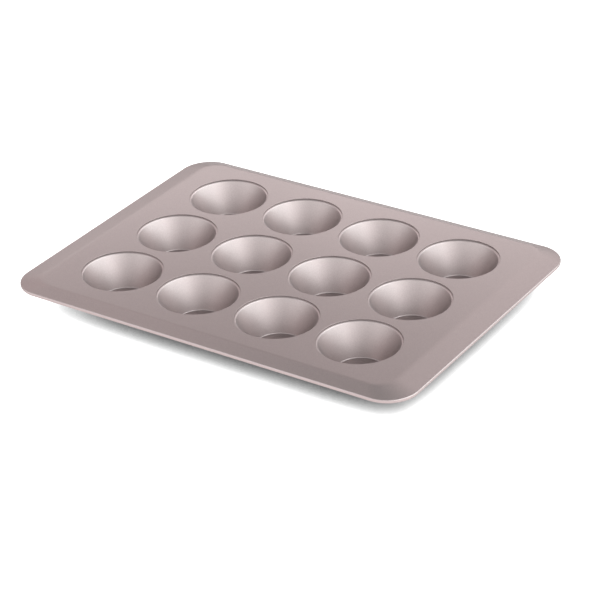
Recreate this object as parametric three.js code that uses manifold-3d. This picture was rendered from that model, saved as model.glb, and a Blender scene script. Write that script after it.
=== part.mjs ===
// Muffin pan with twelve cups: a pressed steel tray, pierced for the cups and with its edge rolled round
// a wire, and drawn cups whose flanges are brazed to the underside of the deck round each hole.
// Millimetres, +Z up. Origin: middle of the footprint, on the surface that the cups stand on.
// +X runs along the long side of the pan, +Y along the short side.
import * as THREE from "three";
import { mergeVertices } from "three/addons/utils/BufferGeometryUtils.js";
import Module from "manifold-3d";

// Cups
const CUP_COLUMNS = 4;
const CUP_ROWS = 3;
const CUP_SHEET = 0.5;
const CUP_DEPTH = 29;
const FLOOR_RADIUS = 21.3;
const FLOOR_FILLET = 1.2;
const MOUTH_FILLET = 1.9;
const LAP_WIDTH = 3.4;

// Tray
const TRAY_SHEET = 0.8;
const HOLE_RADIUS = 35.75;
const HOLE_LEDGE = 0.15;
const WEB_ALONG_LONG_SIDE = 8.5;
const WEB_ALONG_SHORT_SIDE = 8.5;
const DECK_MARGIN_SHORT_EDGE = 20.35;
const DECK_MARGIN_LONG_EDGE = 15.85;
const CREASE_CORNER_RADIUS = 18;
const BORDER_WIDTH_SHORT_EDGE = 20.4;
const BORDER_WIDTH_LONG_EDGE = 11.8;
const BORDER_DROP = 4.35;
const OUTER_CORNER_RADIUS = 28;

// Rolled edge and wire
const WIRE_DIAMETER = 1.8;
const EDGE_BEND = 1;
const CURL_TIP = 0.4;

// Fits: flange under the deck, wire in the rolled edge
const BRAZE_GAP = 0.1;
const WIRE_CLEARANCE = 0.15;

// Fineness of the round shapes
const CUP_SEGMENTS = 24;
const CORNER_STEPS = 6;
const WIRE_STEPS = 8;
const CURL_STEPS = 4;

// Places, all worked out from the sizes above
const DECK_HEIGHT = CUP_DEPTH + CUP_SHEET;
const FLANGE_TOP = -TRAY_SHEET - BRAZE_GAP;
const PITCH_X = 2 * HOLE_RADIUS + WEB_ALONG_LONG_SIDE;
const PITCH_Y = 2 * HOLE_RADIUS + WEB_ALONG_SHORT_SIDE;
const DECK_HALF_X = (PITCH_X * (CUP_COLUMNS - 1)) / 2 + HOLE_RADIUS + DECK_MARGIN_SHORT_EDGE;
const DECK_HALF_Y = (PITCH_Y * (CUP_ROWS - 1)) / 2 + HOLE_RADIUS + DECK_MARGIN_LONG_EDGE;
const OUTER_HALF_X = DECK_HALF_X + BORDER_WIDTH_SHORT_EDGE;
const OUTER_HALF_Y = DECK_HALF_Y + BORDER_WIDTH_LONG_EDGE;
const CURL_INSIDE = WIRE_DIAMETER / 2 + WIRE_CLEARANCE;
const CURL_OUTSIDE = CURL_INSIDE + TRAY_SHEET;
const WIRE_LEVEL = -BORDER_DROP - TRAY_SHEET - CURL_INSIDE;

const wasm = await Module();
wasm.setup();

// A closed three.js geometry as a solid that can be joined and cut.
function toSolid(geometry) {
  const bare = geometry.clone();
  bare.deleteAttribute("normal");
  bare.deleteAttribute("uv");
  const merged = mergeVertices(bare, 1e-4);
  const mesh = new wasm.Mesh({
    numProp: 3,
    vertProperties: merged.attributes.position.array,
    triVerts: new Uint32Array(merged.index.array),
  });
  return new wasm.Manifold(mesh);
}

// A solid back as a three.js geometry.
function toGeometry(solid) {
  const mesh = solid.getMesh();
  const geometry = new THREE.BufferGeometry();
  geometry.setAttribute("position", new THREE.BufferAttribute(mesh.vertProperties, 3));
  geometry.setIndex(new THREE.BufferAttribute(mesh.triVerts, 1));
  geometry.computeVertexNormals();
  return geometry;
}

// A profile of [radius, height] points turned once round the Z axis; it runs up the outside.
function turned(profile) {
  const points = profile.map(([radius, height]) => new THREE.Vector2(radius, height));
  return new THREE.LatheGeometry(points, CUP_SEGMENTS).rotateX(Math.PI / 2);
}

// Points of an arc in the profile plane, both ends included; angles in degrees.
function arc(centreRadius, centreHeight, radius, fromAngle, toAngle, steps) {
  const points = [];
  for (let i = 0; i <= steps; i++) {
    const angle = THREE.MathUtils.degToRad(fromAngle + ((toAngle - fromAngle) * i) / steps);
    points.push([centreRadius + radius * Math.cos(angle), centreHeight + radius * Math.sin(angle)]);
  }
  return points;
}

// The other side of a sheet whose one side is this path: every point moves by the thickness, square
// to the path, to the left of the way the path runs.
function offsetPath(path, thickness) {
  const normals = path.slice(1).map(([r, z], i) => {
    const along = new THREE.Vector2(r - path[i][0], z - path[i][1]).normalize();
    return new THREE.Vector2(-along.y, along.x);
  });
  return path.map(([r, z], i) => {
    const before = normals[Math.max(i - 1, 0)];
    const after = normals[Math.min(i, normals.length - 1)];
    const reach = thickness / (1 + before.dot(after));
    return [r + (before.x + after.x) * reach, z + (before.y + after.y) * reach];
  });
}

// Inside of a cup, from the middle of its floor up to the edge of its flange; height 0 is the deck.
function cupInside() {
  const floorCentre = { radius: FLOOR_RADIUS, height: -CUP_DEPTH + FLOOR_FILLET };
  const mouthCentre = { radius: HOLE_RADIUS - HOLE_LEDGE, height: FLANGE_TOP - MOUTH_FILLET };
  // The wall touches the rounding round the floor and the rounding of the mouth.
  const run = mouthCentre.radius - floorCentre.radius;
  const rise = mouthCentre.height - floorCentre.height;
  const turn = Math.asin((FLOOR_FILLET + MOUTH_FILLET) / Math.hypot(run, rise));
  const lean = THREE.MathUtils.radToDeg(Math.atan2(run, rise) - turn);
  return [
    [0, -CUP_DEPTH],
    ...arc(floorCentre.radius, floorCentre.height, FLOOR_FILLET, -90, -lean, 2),
    ...arc(mouthCentre.radius, mouthCentre.height, MOUTH_FILLET, 180 - lean, 90, 3),
    [HOLE_RADIUS + LAP_WIDTH, FLANGE_TOP],
  ];
}

// One drawn cup: the inside path, and the same path one sheet thickness further out.
function makeCup() {
  const inside = cupInside();
  const outside = offsetPath(inside, -CUP_SHEET);
  return turned([...outside, ...inside.reverse()]);
}

// What the punch takes out of the deck for one cup.
function punchedSlug() {
  return turned([
    [0, -2 * TRAY_SHEET],
    [HOLE_RADIUS, -2 * TRAY_SHEET],
    [HOLE_RADIUS, TRAY_SHEET],
    [0, TRAY_SHEET],
  ]);
}

// Corner points of a rectangle with round corners, going round counter-clockwise.
function roundedRectangle(halfX, halfY, radius) {
  const points = [];
  for (let corner = 0; corner < 4; corner++) {
    const middle = (corner + 0.5) * (Math.PI / 2);
    const sideX = Math.sign(Math.cos(middle));
    const sideY = Math.sign(Math.sin(middle));
    for (let i = 0; i <= CORNER_STEPS; i++) {
      const angle = (corner + i / CORNER_STEPS) * (Math.PI / 2);
      const x = sideX * (halfX - radius) + radius * Math.cos(angle);
      const y = sideY * (halfY - radius) + radius * Math.sin(angle);
      points.push(new THREE.Vector2(x, y));
    }
  }
  return points;
}

// Loop that runs a given distance inside the outer edge of the pan.
function edgeLoop(inset, height) {
  const halfX = OUTER_HALF_X - inset;
  const halfY = OUTER_HALF_Y - inset;
  const radius = OUTER_CORNER_RADIUS - inset;
  return { outline: roundedRectangle(halfX, halfY, radius), height };
}

// Loop along the crease between deck and border.
function creaseLoop(height) {
  return { outline: roundedRectangle(DECK_HALF_X, DECK_HALF_Y, CREASE_CORNER_RADIUS), height };
}

// Skin through loops of equal point count, with flat faces in the first and the last loop, or back to
// the first loop as a ring. The loops follow one another outward along the top, then inward below.
function skin(loops, ring) {
  const count = loops[0].outline.length;
  const positions = [];
  for (const { outline, height } of loops) {
    for (const point of outline) positions.push(point.x, point.y, height);
  }
  const index = [];
  const bands = ring ? loops.length : loops.length - 1;
  for (let band = 0; band < bands; band++) {
    const here = band * count;
    const next = ((band + 1) % loops.length) * count;
    for (let i = 0; i < count; i++) {
      const j = (i + 1) % count;
      index.push(here + i, next + i, next + j);
      index.push(here + i, next + j, here + j);
    }
  }
  if (!ring) {
    const last = (loops.length - 1) * count;
    for (const [a, b, c] of THREE.ShapeUtils.triangulateShape(loops[0].outline, [])) {
      index.push(a, b, c);
      index.push(last + a, last + c, last + b);
    }
  }
  const geometry = new THREE.BufferGeometry();
  geometry.setAttribute("position", new THREE.Float32BufferAttribute(positions, 3));
  geometry.setIndex(index);
  return geometry;
}

// The sheet before it is pierced: deck, sloping border, and the edge rolled round the wire.
function traySheet() {
  const edgeTop = -BORDER_DROP;
  const curlOut = arc(CURL_OUTSIDE, WIRE_LEVEL, CURL_OUTSIDE, 180, 360, CURL_STEPS);
  const curlIn = arc(CURL_OUTSIDE, WIRE_LEVEL, CURL_INSIDE, 360, 180, CURL_STEPS);
  const bendMiddle = EDGE_BEND * (1 - Math.SQRT1_2);
  const loops = [
    creaseLoop(0),
    edgeLoop(EDGE_BEND, edgeTop),
    edgeLoop(bendMiddle, edgeTop - bendMiddle),
    edgeLoop(0, edgeTop - EDGE_BEND),
    ...curlOut.map(([inset, height]) => edgeLoop(inset, height)),
    edgeLoop(2 * CURL_OUTSIDE, WIRE_LEVEL + CURL_TIP),
    edgeLoop(2 * CURL_OUTSIDE - TRAY_SHEET, WIRE_LEVEL + CURL_TIP),
    ...curlIn.map(([inset, height]) => edgeLoop(inset, height)),
    edgeLoop(TRAY_SHEET, edgeTop - EDGE_BEND),
    edgeLoop(EDGE_BEND, edgeTop - TRAY_SHEET),
    creaseLoop(-TRAY_SHEET),
  ];
  return skin(loops, false);
}

// Middles of the cups, row by row.
function cupPlaces() {
  const places = [];
  for (let row = 0; row < CUP_ROWS; row++) {
    for (let column = 0; column < CUP_COLUMNS; column++) {
      const x = (column - (CUP_COLUMNS - 1) / 2) * PITCH_X;
      const y = (row - (CUP_ROWS - 1) / 2) * PITCH_Y;
      places.push({ name: `cup_row${row + 1}_column${column + 1}`, x, y });
    }
  }
  return places;
}

// The tray: the sheet with a hole punched for every cup.
function makeTray() {
  const slug = toSolid(punchedSlug());
  const slugs = cupPlaces().map(({ x, y }) => slug.translate([x, y, 0]));
  return toGeometry(toSolid(traySheet()).subtract(wasm.Manifold.union(slugs)));
}

// The wire in the rolled edge, bent to the outline of the pan and welded end to end.
function makeRimWire() {
  const section = arc(CURL_OUTSIDE, WIRE_LEVEL, WIRE_DIAMETER / 2, 0, 360, WIRE_STEPS);
  section.pop();
  const loops = section.map(([inset, height]) => edgeLoop(inset, height));
  return skin(loops, true);
}

function addPiece(group, name, geometry, material, x, y) {
  const mesh = new THREE.Mesh(geometry, material);
  mesh.name = name;
  mesh.position.set(x, y, DECK_HEIGHT);
  group.add(mesh);
}

function coatedSteel() {
  return new THREE.MeshStandardMaterial({ color: 0xa89a98, metalness: 0.7, roughness: 0.4 });
}

function plainSteel() {
  return new THREE.MeshStandardMaterial({ color: 0xb9bcbe, metalness: 0.9, roughness: 0.35 });
}

const pan = new THREE.Group();
pan.name = "muffin_pan";
addPiece(pan, "tray", makeTray(), coatedSteel(), 0, 0);
addPiece(pan, "rim_wire", makeRimWire(), plainSteel(), 0, 0);
for (const { name, x, y } of cupPlaces()) {
  addPiece(pan, name, makeCup(), coatedSteel(), x, y);
}

export default pan;
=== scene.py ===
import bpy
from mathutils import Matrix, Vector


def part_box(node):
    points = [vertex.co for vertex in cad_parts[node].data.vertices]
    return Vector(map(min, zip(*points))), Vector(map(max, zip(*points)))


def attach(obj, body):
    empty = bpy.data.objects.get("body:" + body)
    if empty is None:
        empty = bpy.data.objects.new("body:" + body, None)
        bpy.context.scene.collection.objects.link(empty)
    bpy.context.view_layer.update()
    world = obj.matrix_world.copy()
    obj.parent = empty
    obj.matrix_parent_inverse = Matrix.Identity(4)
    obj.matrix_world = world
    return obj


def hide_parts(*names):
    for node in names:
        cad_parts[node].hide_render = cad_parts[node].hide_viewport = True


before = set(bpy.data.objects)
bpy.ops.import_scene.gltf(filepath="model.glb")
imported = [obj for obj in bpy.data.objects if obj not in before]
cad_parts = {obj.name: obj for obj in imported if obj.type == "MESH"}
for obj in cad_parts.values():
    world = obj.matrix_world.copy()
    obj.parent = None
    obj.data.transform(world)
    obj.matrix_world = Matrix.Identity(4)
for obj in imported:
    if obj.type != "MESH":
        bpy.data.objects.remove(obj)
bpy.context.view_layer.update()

import math

import bmesh
import bpy
from mathutils import Matrix, Vector

# Tray: one sheet of carbon steel with a flat deck and a border that falls away on all four sides.
# It is pressed in one stroke and punched with a round hole for every cup, and its edge is then
# rolled down and under, round a wire. Sizes in metres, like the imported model.
MM = 0.001
TRAY_SHEET = 0.8 * MM
CREASE_HALF_X = 176.1 * MM
CREASE_HALF_Y = 131.6 * MM
CREASE_CORNER = 18 * MM
CREASE_SOFTNESS = 0.13
CREASE_STEPS = 6
BORDER_DROP = 4.35 * MM
OUTER_CORNER = 28 * MM
CORNER_STEPS = 24
EDGE_BEND = 1 * MM
EDGE_BEND_STEPS = 5
CURL_RADIUS = 1.85 * MM
CURL_CENTRE_DROP = 6.2 * MM
CURL_TIP_RISE = 0.4 * MM
CURL_STEPS = 14
CUP_ROWS = 3
CUP_COLUMNS = 4
CUP_PITCH = 80 * MM
CUP_STEPS = 96
HOLE_RADIUS = 35.75 * MM
CUT_EDGE_ROUNDING = 0.2 * MM
CUT_EDGE_STEPS = 2
CUT_EDGE_ANGLE = math.radians(60)
SHARP_ANGLE = math.radians(42)
MERGE_DISTANCE = 0.001 * MM
COAT_METALLIC = 0.7
COAT_GLANCING_TINT = (0.35, 0.35, 0.35, 1)
COAT_DARK = (0.347, 0.278, 0.275, 1)
COAT_LIGHT = (0.409, 0.327, 0.324, 1)
COAT_ROUGHNESS = (0.34, 0.42)
COAT_FLECK_SCALE = 1400
COAT_FLECK_RANGE = (0.3, 0.7)
COAT_GRAIN_STRENGTH = 0.05
COAT_GRAIN_DEPTH = 0.4 * MM

_, tray_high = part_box("tray")
outer_half_x = tray_high.x
outer_half_y = tray_high.y
deck_level = tray_high.z
cup_centres = {}
for row in range(CUP_ROWS):
    for column in range(CUP_COLUMNS):
        centre_x = (column - (CUP_COLUMNS - 1) / 2) * CUP_PITCH
        centre_y = (row - (CUP_ROWS - 1) / 2) * CUP_PITCH
        cup_centres[f"cup_row{row + 1}_column{column + 1}"] = Vector((centre_x, centre_y, deck_level))


def arc_points(centre_out, centre_up, radius, start, end, steps):
    """Points (distance, height) on an arc, both ends included; angles in degrees."""
    angles = [math.radians(start + (end - start) * step / steps) for step in range(steps + 1)]
    return [
        (centre_out + radius * math.cos(angle), centre_up + radius * math.sin(angle))
        for angle in angles
    ]


def edges_of(verts):
    """The edges that meet these verts, each of them once."""
    return list(dict.fromkeys(edge for vert in verts for edge in vert.link_edges))


def pan_loop(mesh, half_x, half_y, corner, height):
    """Edges of one level rectangle with round corners, at a height counted from the deck."""
    segments = 4 * CORNER_STEPS
    half_step = Matrix.Rotation(math.pi / segments, 4, "Z")
    ring = bmesh.ops.create_circle(mesh, segments=segments, radius=corner, matrix=half_step)["verts"]
    for vert in ring:
        vert.co.x += math.copysign(half_x - corner, vert.co.x)
        vert.co.y += math.copysign(half_y - corner, vert.co.y)
        vert.co.z = deck_level + height
    return edges_of(ring)


def edge_loop(mesh, out, height):
    """The loop that follows the outer edge of the pan, at a distance out from it."""
    return pan_loop(mesh, outer_half_x + out, outer_half_y + out, OUTER_CORNER + out, height)


def shade_smooth(mesh):
    """Smooth shading for every face that the mesh has so far."""
    for face in mesh.faces:
        face.smooth = True


def bridge_in_turn(mesh, loops):
    """Smooth faces from each loop to the next."""
    for inner, outer in zip(loops, loops[1:]):
        bmesh.ops.bridge_loops(mesh, edges=inner + outer)
    shade_smooth(mesh)


def make_object(mesh, name, material):
    """The finished mesh as an object at the origin, with its material."""
    data = bpy.data.meshes.new(name)
    mesh.to_mesh(data)
    mesh.free()
    data.materials.append(material)
    made = bpy.data.objects.new(name, data)
    bpy.context.scene.collection.objects.link(made)
    return made


def finish_sheet(mesh, name, thickness, material, edge_rounding=0):
    """A pressed surface whose upper side is the good one, made a sheet of that thickness below it."""
    bmesh.ops.remove_doubles(mesh, verts=mesh.verts, dist=MERGE_DISTANCE)
    bmesh.ops.recalc_face_normals(mesh, faces=mesh.faces)
    if sum(face.normal.z * face.calc_area() for face in mesh.faces) < 0:
        bmesh.ops.reverse_faces(mesh, faces=mesh.faces)
    piece = make_object(mesh, name, material)
    piece.data.set_sharp_from_angle(angle=SHARP_ANGLE)
    wall = piece.modifiers.new("sheet", "SOLIDIFY")
    wall.thickness = thickness
    wall.offset = -1
    wall.use_even_offset = True
    if edge_rounding:
        cut_edges = piece.modifiers.new("cut_edges", "BEVEL")
        cut_edges.width = edge_rounding
        cut_edges.segments = CUT_EDGE_STEPS
        cut_edges.limit_method = "ANGLE"
        cut_edges.angle_limit = CUT_EDGE_ANGLE
    flat_faces = piece.modifiers.new("flat_faces_stay_flat", "WEIGHTED_NORMAL")
    flat_faces.keep_sharp = True
    return piece


def flecked_metal(name, metallic, dark, light, roughness, fleck_scale, fleck_range):
    """A metal whose tone and gloss both follow one fine fleck."""
    metal = bpy.data.materials.new(name)
    metal.use_nodes = True
    nodes = metal.node_tree.nodes
    links = metal.node_tree.links
    shader = nodes["Principled BSDF"]
    shader.inputs["Metallic"].default_value = metallic
    place = nodes.new("ShaderNodeTexCoord")
    fleck = nodes.new("ShaderNodeTexNoise")
    fleck.name = "fleck"
    fleck.inputs["Scale"].default_value = fleck_scale
    links.new(place.outputs["Object"], fleck.inputs["Vector"])
    tone = nodes.new("ShaderNodeValToRGB")
    for stop, position, colour in zip(tone.color_ramp.elements, fleck_range, (dark, light)):
        stop.position = position
        stop.color = colour
    links.new(fleck.outputs["Fac"], tone.inputs["Fac"])
    links.new(tone.outputs["Color"], shader.inputs["Base Color"])
    gloss = nodes.new("ShaderNodeMapRange")
    gloss.inputs["To Min"].default_value = roughness[0]
    gloss.inputs["To Max"].default_value = roughness[1]
    links.new(fleck.outputs["Fac"], gloss.inputs["Value"])
    links.new(gloss.outputs["Result"], shader.inputs["Roughness"])
    return metal


def make_coating():
    """Satin metallic non-stick coat: warm grey with a champagne cast and a fine raised fleck."""
    coat = flecked_metal(
        "champagne_nonstick_coat",
        metallic=COAT_METALLIC,
        dark=COAT_DARK,
        light=COAT_LIGHT,
        roughness=COAT_ROUGHNESS,
        fleck_scale=COAT_FLECK_SCALE,
        fleck_range=COAT_FLECK_RANGE,
    )
    nodes = coat.node_tree.nodes
    links = coat.node_tree.links
    shader = nodes["Principled BSDF"]
    shader.inputs["Specular Tint"].default_value = COAT_GLANCING_TINT
    grain = nodes.new("ShaderNodeBump")
    grain.inputs["Strength"].default_value = COAT_GRAIN_STRENGTH
    grain.inputs["Distance"].default_value = COAT_GRAIN_DEPTH
    links.new(nodes["fleck"].outputs["Fac"], grain.inputs["Height"])
    links.new(grain.outputs["Normal"], shader.inputs["Normal"])
    return coat


coating = make_coating()

# The crease is a soft bend that leaves the deck level and runs out into the slope of the border.
# It takes a share of the border's width, CREASE_SOFTNESS, on each of its two sides.
tray_mesh = bmesh.new()
border_x = outer_half_x - CREASE_HALF_X
border_y = outer_half_y - CREASE_HALF_Y
border_corner = OUTER_CORNER - CREASE_CORNER
tray_loops = []
for step in range(CREASE_STEPS + 1):
    share = CREASE_SOFTNESS * (2 * step / CREASE_STEPS - 1)
    drop = BORDER_DROP * CREASE_SOFTNESS * (step / CREASE_STEPS) ** 2
    half_x = CREASE_HALF_X + border_x * share
    half_y = CREASE_HALF_Y + border_y * share
    corner = CREASE_CORNER + border_corner * share
    tray_loops.append(pan_loop(tray_mesh, half_x, half_y, corner, -drop))
bend = arc_points(-EDGE_BEND, -BORDER_DROP - EDGE_BEND, EDGE_BEND, start=90, end=0, steps=EDGE_BEND_STEPS)
curl = arc_points(-CURL_RADIUS, -CURL_CENTRE_DROP, CURL_RADIUS, start=0, end=-180, steps=CURL_STEPS)
curl_tip = (-2 * CURL_RADIUS, -CURL_CENTRE_DROP + CURL_TIP_RISE)
for out, height in bend + curl + [curl_tip]:
    tray_loops.append(edge_loop(tray_mesh, out, height))
bridge_in_turn(tray_mesh, tray_loops)

hole_edges = []
for centre in cup_centres.values():
    hole = bmesh.ops.create_circle(
        tray_mesh, segments=CUP_STEPS, radius=HOLE_RADIUS, matrix=Matrix.Translation(centre)
    )["verts"]
    hole_edges += edges_of(hole)
bmesh.ops.triangle_fill(tray_mesh, edges=tray_loops[0] + hole_edges, use_beauty=True, normal=(0, 0, 1))

tray = finish_sheet(tray_mesh, "tray_sheet", TRAY_SHEET, coating, CUT_EDGE_ROUNDING)
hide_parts("tray")
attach(tray, "root")

# Rim wire: round steel wire, bent to the outline of the pan and welded end to end. The edge of the
# tray is rolled round it, so it is seen only through the slit under the rim.
WIRE_RADIUS = 0.9 * MM
WIRE_STEPS = 12
WIRE_METALLIC = 1
WIRE_DARK = (0.36, 0.36, 0.37, 1)
WIRE_LIGHT = (0.52, 0.52, 0.53, 1)
WIRE_ROUGHNESS = (0.3, 0.5)
WIRE_FLECK_SCALE = 300
WIRE_FLECK_RANGE = (0, 1)

wire_steel = flecked_metal(
    "plain_drawn_wire",
    metallic=WIRE_METALLIC,
    dark=WIRE_DARK,
    light=WIRE_LIGHT,
    roughness=WIRE_ROUGHNESS,
    fleck_scale=WIRE_FLECK_SCALE,
    fleck_range=WIRE_FLECK_RANGE,
)
wire_mesh = bmesh.new()
wire_section = arc_points(-CURL_RADIUS, -CURL_CENTRE_DROP, WIRE_RADIUS, start=0, end=360, steps=WIRE_STEPS)
bridge_in_turn(wire_mesh, [edge_loop(wire_mesh, out, height) for out, height in wire_section])
bmesh.ops.remove_doubles(wire_mesh, verts=wire_mesh.verts, dist=MERGE_DISTANCE)
bmesh.ops.recalc_face_normals(wire_mesh, faces=wire_mesh.faces)
wire = make_object(wire_mesh, "rim_wire_ring", wire_steel)
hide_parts("rim_wire")
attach(wire, "root")

# Cups: twelve steel cups, each drawn from its own round blank and coated like the tray. The flange
# is brazed to the underside of the deck, so the cut edge of the hole stands round the mouth.
CUP_SHEET = 0.5 * MM
CUP_DEPTH = 29 * MM
BRAZE_GAP = 0.1 * MM
FLANGE_RADIUS = 39.15 * MM
MOUTH_CENTRE = 35.6 * MM
MOUTH_FILLET = 1.9 * MM
MOUTH_STEPS = 8
CUP_FLOOR_RADIUS = 21.3 * MM
CUP_FLOOR_FILLET = 1.2 * MM
CUP_FLOOR_STEPS = 6


def turn_profile(mesh, profile, centre):
    """A profile of (radius, height) points turned once round the upright axis through centre."""
    verts = [mesh.verts.new(centre + Vector((radius, 0, height))) for radius, height in profile]
    edges = [mesh.edges.new(pair) for pair in zip(verts, verts[1:])]
    bmesh.ops.spin(
        mesh,
        geom=verts + edges,
        cent=centre,
        axis=(0, 0, 1),
        angle=math.tau,
        steps=CUP_STEPS,
        use_merge=True,
    )


# The wall is the straight line that touches the mouth's fillet on its inner side and the floor's
# fillet on its outer side, so it is turned a little from the line between their centres. Heights
# are counted from the deck.
flange_top = -TRAY_SHEET - BRAZE_GAP
mouth_centre_height = flange_top - MOUTH_FILLET
floor_centre_height = -CUP_DEPTH + CUP_FLOOR_FILLET
wall_run = MOUTH_CENTRE - CUP_FLOOR_RADIUS
wall_rise = mouth_centre_height - floor_centre_height
wall_turn = math.asin((MOUTH_FILLET + CUP_FLOOR_FILLET) / math.hypot(wall_run, wall_rise))
wall_lean = math.degrees(math.atan2(wall_run, wall_rise) - wall_turn)
cup_profile = [(FLANGE_RADIUS, flange_top)]
cup_profile += arc_points(
    MOUTH_CENTRE,
    mouth_centre_height,
    MOUTH_FILLET,
    start=90,
    end=180 - wall_lean,
    steps=MOUTH_STEPS,
)
cup_profile += arc_points(
    CUP_FLOOR_RADIUS,
    floor_centre_height,
    CUP_FLOOR_FILLET,
    start=-wall_lean,
    end=-90,
    steps=CUP_FLOOR_STEPS,
)
cup_profile += [(CUP_FLOOR_RADIUS / 2, -CUP_DEPTH), (0, -CUP_DEPTH)]
for node, centre in cup_centres.items():
    cup_mesh = bmesh.new()
    turn_profile(cup_mesh, cup_profile, centre)
    shade_smooth(cup_mesh)
    cup = finish_sheet(cup_mesh, node + "_drawn", CUP_SHEET, coating)
    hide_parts(node)
    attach(cup, "root")

# Floor: a wide sheet of matt paper that the pan stands on, black in itself. A glow of the paper stands for
# light so strong that it comes out plain white. The glow weakens where the pan hides the open sky, and
# that is painted shade: it paints the band of shade close under the rim.
PAPER_HALF = 4
PAPER_GAP = 0.2 * MM
PAPER_GLOW = 1.75
SHADE_REACH = 0.15
SHADE_SAMPLES = 32
SKY_MIDDLE = (-0.208, 0.104, 0.978)
DARK_FROM_OPEN_SKY = 0.07
WHITE_FROM_OPEN_SKY = 0.36

paper = bpy.data.materials.new("glowing_paper_painted_shade")
paper.use_nodes = True
paper_nodes = paper.node_tree.nodes
paper_links = paper.node_tree.links
paper_shader = paper_nodes["Principled BSDF"]
paper_shader.inputs["Base Color"].default_value = (0, 0, 0, 1)
paper_shader.inputs["Specular IOR Level"].default_value = 0
paper_shader.inputs["Emission Color"].default_value = (1, 1, 1, 1)
# Painted shade: the glow follows how much open sky each point of the paper sees within SHADE_REACH, round a
# sky whose middle leans a little from straight up.
sky_middle = paper_nodes.new("ShaderNodeCombineXYZ")
for axis, part in zip("XYZ", SKY_MIDDLE):
    sky_middle.inputs[axis].default_value = part
open_sky = paper_nodes.new("ShaderNodeAmbientOcclusion")
open_sky.samples = SHADE_SAMPLES
open_sky.inputs["Distance"].default_value = SHADE_REACH
paper_links.new(sky_middle.outputs["Vector"], open_sky.inputs["Normal"])
# The open sky is turned into the paper's glow. This is the painted shade: dark where little sky shows, full
# glow where it is open.
painted_shade_glow = paper_nodes.new("ShaderNodeMapRange")
painted_shade_glow.inputs["From Min"].default_value = DARK_FROM_OPEN_SKY
painted_shade_glow.inputs["From Max"].default_value = WHITE_FROM_OPEN_SKY
painted_shade_glow.inputs["To Max"].default_value = PAPER_GLOW
paper_links.new(open_sky.outputs["AO"], painted_shade_glow.inputs["Value"])
paper_links.new(painted_shade_glow.outputs["Result"], paper_shader.inputs["Emission Strength"])
floor_mesh = bmesh.new()
bmesh.ops.create_grid(floor_mesh, x_segments=1, y_segments=1, size=PAPER_HALF)
bmesh.ops.translate(floor_mesh, vec=(0, 0, -PAPER_GAP), verts=floor_mesh.verts)
floor = make_object(floor_mesh, "paper_floor", paper)

# Camera: a long lens on a tripod, on the front right of the pan and tilted a little to one side.
# It looks at a point just below the middle of the deck, and is then moved a little to the side
# and down, so that the pan lies in the frame as in the photograph.
LENS_MILLIMETRES = 136.26
SENSOR_MILLIMETRES = 36
NEAREST_SEEN = 0.05
FARTHEST_SEEN = 30
CAMERA_DISTANCE = 1.9483
CAMERA_AZIMUTH = math.radians(34.544)
CAMERA_ELEVATION = math.radians(29.473)
CAMERA_ROLL = math.radians(-2.524)
CAMERA_SIDE = 0.00834
CAMERA_RISE = -0.02949
AIM_BELOW_DECK = 0.00093

level_right = Vector((math.cos(CAMERA_AZIMUTH), math.sin(CAMERA_AZIMUTH), 0))
level_away = Vector((-math.sin(CAMERA_AZIMUTH), math.cos(CAMERA_AZIMUTH), 0))
back = Vector((0, 0, math.sin(CAMERA_ELEVATION))) - level_away * math.cos(CAMERA_ELEVATION)
level_up = back.cross(level_right)
right = level_right * math.cos(CAMERA_ROLL) + level_up * math.sin(CAMERA_ROLL)
up = level_up * math.cos(CAMERA_ROLL) - level_right * math.sin(CAMERA_ROLL)
eye = back * CAMERA_DISTANCE + right * CAMERA_SIDE + up * CAMERA_RISE
eye.z += deck_level - AIM_BELOW_DECK
lens = bpy.data.cameras.new("long_lens")
lens.lens = LENS_MILLIMETRES
lens.sensor_width = SENSOR_MILLIMETRES
lens.clip_start = NEAREST_SEEN
lens.clip_end = FARTHEST_SEEN
camera = bpy.data.objects.new("camera", lens)
camera.matrix_world = Matrix.Translation(eye) @ Matrix((right, up, back)).transposed().to_4x4()
bpy.context.scene.collection.objects.link(camera)
bpy.context.scene.camera = camera

# Light: a studio with pale walls that glow softly, most on the right and least behind, and soft boxes
# behind the pan and above its left side, whose light falls off from the back of the deck to its front.
# Azimuths are counted from the camera's side to the right, in degrees like elevations and spreads.
COOL = (0.87, 1, 1)
PALE = (0.92, 1, 1)
PALEST = (0.96, 1, 1)
WARM = (1, 0.89, 0.89)

studio = bpy.data.worlds.new("studio")
studio.use_nodes = True
studio_nodes = studio.node_tree.nodes
studio_links = studio.node_tree.links
ray = studio_nodes.new("ShaderNodeTexCoord")


def wall_glow(azimuth, elevation, spread, strength, tint):
    """A round patch of the studio wall that fades out at an angle of spread from its middle."""
    turn = math.radians(azimuth)
    rise = math.radians(elevation)
    level = level_right * math.sin(turn) - level_away * math.cos(turn)
    near_middle = studio_nodes.new("ShaderNodeVectorMath")
    near_middle.operation = "DOT_PRODUCT"
    near_middle.inputs[1].default_value = level * math.cos(rise) + Vector((0, 0, math.sin(rise)))
    fade = studio_nodes.new("ShaderNodeMapRange")
    fade.interpolation_type = "SMOOTHSTEP"
    fade.inputs["From Min"].default_value = math.cos(math.radians(spread))
    fade.inputs["To Max"].default_value = strength
    patch = studio_nodes.new("ShaderNodeVectorMath")
    patch.operation = "SCALE"
    patch.inputs[0].default_value = tint
    studio_links.new(ray.outputs["Generated"], near_middle.inputs[0])
    studio_links.new(near_middle.outputs["Value"], fade.inputs["Value"])
    studio_links.new(fade.outputs["Result"], patch.inputs["Scale"])
    return patch.outputs["Vector"]


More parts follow.
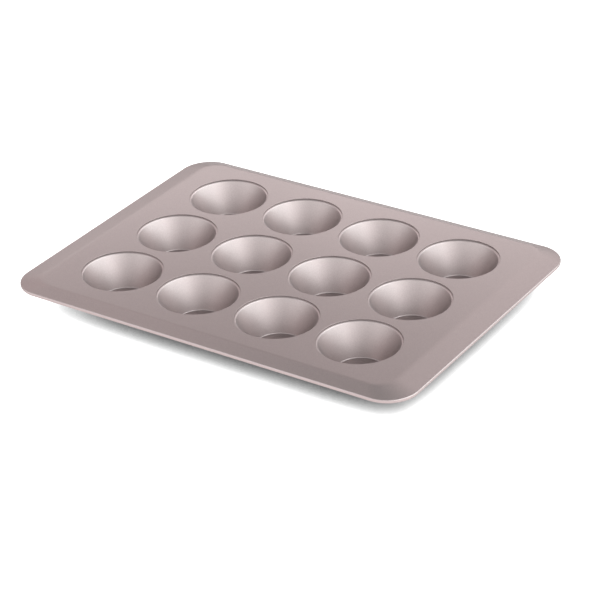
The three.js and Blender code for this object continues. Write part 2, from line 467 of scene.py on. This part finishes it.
def soft_box(name, side, behind, height, size, radiance, tint):
    """A rectangular lamp of that size (width, height) that faces the middle of the deck."""
    width, tall = size
    lamp = bpy.data.lights.new(name, "AREA")
    lamp.shape = "RECTANGLE"
    lamp.size = width
    lamp.size_y = tall
    lamp.color = tint
    lamp.energy = math.pi * width * tall * radiance
    place = level_right * side + level_away * behind + Vector((0, 0, height))
    outward = (place - Vector((0, 0, deck_level))).normalized()
    upward = outward.cross(level_right).normalized()
    facing = Matrix((upward.cross(outward), upward, outward)).transposed().to_4x4()
    box = bpy.data.objects.new(name, lamp)
    box.matrix_world = Matrix.Translation(place) @ facing
    bpy.context.scene.collection.objects.link(box)


glows = [
    wall_glow(azimuth=355, elevation=8, spread=60, strength=1.65, tint=PALE),
    wall_glow(azimuth=22, elevation=20, spread=35, strength=0.9, tint=PALE),
    wall_glow(azimuth=75, elevation=8, spread=60, strength=2.1, tint=COOL),
    wall_glow(azimuth=75, elevation=35, spread=45, strength=1.4, tint=COOL),
    wall_glow(azimuth=110, elevation=20, spread=40, strength=1.6, tint=COOL),
    wall_glow(azimuth=48, elevation=46, spread=42, strength=1.5, tint=PALE),
    wall_glow(azimuth=280, elevation=15, spread=45, strength=1.65, tint=PALE),
    wall_glow(azimuth=300, elevation=40, spread=50, strength=0.8, tint=PALE),
    wall_glow(azimuth=225, elevation=12, spread=40, strength=0.5, tint=WARM),
    wall_glow(azimuth=210, elevation=30, spread=40, strength=0.55, tint=WARM),
    wall_glow(azimuth=150, elevation=37, spread=28, strength=0.8, tint=WARM),
]
all_glows = glows[0]
for glow in glows[1:]:
    adding = studio_nodes.new("ShaderNodeVectorMath")
    adding.operation = "ADD"
    studio_links.new(all_glows, adding.inputs[0])
    studio_links.new(glow, adding.inputs[1])
    all_glows = adding.outputs["Vector"]
studio_links.new(all_glows, studio_nodes["Background"].inputs["Color"])
bpy.context.scene.world = studio

soft_box("low_box_behind", side=0, behind=0.36, height=0.11, size=(0.7, 0.12), radiance=0.72, tint=PALE)
soft_box("high_box_behind", side=0, behind=0.42, height=0.2, size=(0.7, 0.14), radiance=1.1, tint=PALEST)
soft_box("right_box_behind", side=0.2, behind=0.36, height=0.2, size=(0.4, 0.2), radiance=0.5, tint=PALEST)
soft_box("side_box_behind", side=0.32, behind=0.38, height=0.39, size=(0.3, 0.2), radiance=0.6, tint=PALEST)
soft_box("left_box_above", side=-0.35, behind=0.22, height=0.45, size=(0.3, 0.3), radiance=0.4, tint=WARM)
bpy.context.scene.view_settings.view_transform = "Standard"
